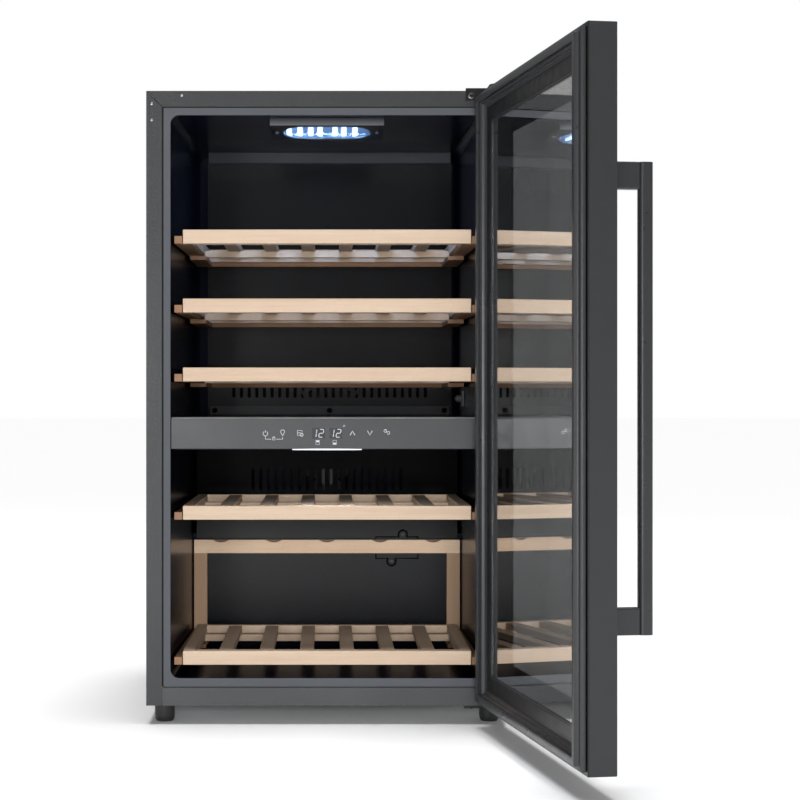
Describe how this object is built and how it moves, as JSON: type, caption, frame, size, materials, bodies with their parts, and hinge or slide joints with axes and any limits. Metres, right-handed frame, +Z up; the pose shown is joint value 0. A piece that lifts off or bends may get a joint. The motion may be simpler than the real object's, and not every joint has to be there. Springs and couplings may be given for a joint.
{
  "type": "wine cooler",
  "caption": "Free-standing two-zone wine cooler with a glazed side-hung door, sliding beech shelves, a touch control panel between the zones and levelling feet.",
  "frame": {"origin": "middle of the case's flat underside, at the base pan; the feet reach 25 mm below it", "axes": "+X to the right seen from the front, +Y from the door to the back, +Z up"},
  "size_m": [0.595, 1.0125, 0.8443],
  "materials": {
    "case_paint": "satin",
    "galvanised": "satin",
    "liner_black": "gloss",
    "panel_grey": "gloss",
    "duct_black": "gloss",
    "sensor_grey": "satin",
    "light_lens": "gloss",
    "inner_plastic": "satin",
    "fin_aluminium": "satin",
    "compressor_paint": "gloss",
    "circuit_board": "satin",
    "foam": "matte",
    "beech": "matte",
    "door_frame_grey": "satin",
    "handle_grey": "satin",
    "smoked_glass": "gloss",
    "seal_rubber": "satin",
    "foot_rubber": "matte"
  },
  "bodies": {
    "cabinet": {"side_panel_left": "case_paint", "side_panel_right": "case_paint", "top_panel": "case_paint", "toe_panel": "case_paint", "rear_grille": "case_paint", "hinge_plate_top": "case_paint", "hinge_plate_bottom": "case_paint", "back_panel": "galvanised", "base_pan": "galvanised", "inner_liner": "liner_black", "zone_divider": "liner_black", "control_fascia": "panel_grey", "upper_duct_cover": "duct_black", "lower_duct_cover": "duct_black", "upper_light_housing": "duct_black", "upper_temperature_sensor": "sensor_grey", "lower_sensor_cover": "sensor_grey", "upper_light_lens": "light_lens", "lower_light_lens": "light_lens", "drip_tray": "inner_plastic", "mains_inlet": "inner_plastic", "upper_evaporator": "fin_aluminium", "lower_evaporator": "fin_aluminium", "condenser": "fin_aluminium", "compressor": "compressor_paint", "control_board": "circuit_board", "insulation_foam": "foam", "shelf_1_carrier": "beech", "shelf_2_carrier": "beech", "shelf_3_carrier": "beech", "shelf_4_carrier": "beech", "shelf_5_carrier": "beech", "display_frame": "beech"},
    "door": {"door_frame": "door_frame_grey", "front_glass": "smoked_glass", "inner_glass": "smoked_glass", "glass_spacer": "fin_aluminium", "door_gasket": "seal_rubber", "handle_bar": "handle_grey", "handle_post_lower": "handle_grey", "handle_post_upper": "handle_grey", "hinge_bush_bottom": "inner_plastic", "hinge_bush_top": "inner_plastic"},
    "shelf_1": {"shelf_1_slats": "beech", "shelf_1_front_strip": "beech"},
    "shelf_2": {"shelf_2_slats": "beech", "shelf_2_front_strip": "beech"},
    "shelf_3": {"shelf_3_slats": "beech", "shelf_3_front_strip": "beech"},
    "shelf_4": {"shelf_4_slats": "beech", "shelf_4_front_strip": "beech"},
    "shelf_5": {"shelf_5_slats": "beech", "shelf_5_front_strip": "beech"},
    "upper_fan_wheel": {"upper_fan": "inner_plastic"},
    "lower_fan_wheel": {"lower_fan": "inner_plastic"},
    "condenser_fan_wheel": {"condenser_fan": "inner_plastic"},
    "levelling_foot_front_left": {"foot_front_left": "foot_rubber"},
    "levelling_foot_front_right": {"foot_front_right": "foot_rubber"},
    "levelling_foot_rear_left": {"foot_rear_left": "foot_rubber"},
    "levelling_foot_rear_right": {"foot_rear_right": "foot_rubber"}
  },
  "joints": [
    {"name": "door_hinge", "type": "hinge", "parent": "cabinet", "child": "door", "pos_m": [0.224, -0.29, 0], "axis": [0, 0, 1], "range_deg": [-99, 16]},
    {"name": "shelf_1_slide", "type": "slide", "parent": "cabinet", "child": "shelf_1", "axis": [0, -1, 0], "range_m": [0, 0.19]},
    {"name": "shelf_2_slide", "type": "slide", "parent": "cabinet", "child": "shelf_2", "axis": [0, -1, 0], "range_m": [0, 0.19]},
    {"name": "shelf_3_slide", "type": "slide", "parent": "cabinet", "child": "shelf_3", "axis": [0, -1, 0], "range_m": [0, 0.19]},
    {"name": "shelf_4_slide", "type": "slide", "parent": "cabinet", "child": "shelf_4", "axis": [0, -1, 0], "range_m": [0, 0.17]},
    {"name": "shelf_5_slide", "type": "slide", "parent": "cabinet", "child": "shelf_5", "axis": [0, -1, 0], "range_m": [0, 0.15]},
    {"name": "spin_upper_fan", "type": "hinge", "parent": "cabinet", "child": "upper_fan_wheel", "pos_m": [0.004, 0.136, 0.44], "axis": [0, 1, 0], "continuous": true},
    {"name": "spin_lower_fan", "type": "hinge", "parent": "cabinet", "child": "lower_fan_wheel", "pos_m": [0, 0.0925, 0.292], "axis": [0, 1, 0], "continuous": true},
    {"name": "spin_condenser_fan", "type": "hinge", "parent": "cabinet", "child": "condenser_fan_wheel", "pos_m": [-0.0215, 0.192, 0.062], "axis": [1, 0, 0], "continuous": true},
    {"name": "turn_foot_front_left", "type": "hinge", "parent": "cabinet", "child": "levelling_foot_front_left", "pos_m": [-0.218, -0.225, 0], "axis": [0, 0, 1], "continuous": true},
    {"name": "turn_foot_front_right", "type": "hinge", "parent": "cabinet", "child": "levelling_foot_front_right", "pos_m": [0.218, -0.225, 0], "axis": [0, 0, 1], "continuous": true},
    {"name": "turn_foot_rear_left", "type": "hinge", "parent": "cabinet", "child": "levelling_foot_rear_left", "pos_m": [-0.218, 0.225, 0], "axis": [0, 0, 1], "continuous": true},
    {"name": "turn_foot_rear_right", "type": "hinge", "parent": "cabinet", "child": "levelling_foot_rear_right", "pos_m": [0.218, 0.225, 0], "axis": [0, 0, 1], "continuous": true}
  ]
}
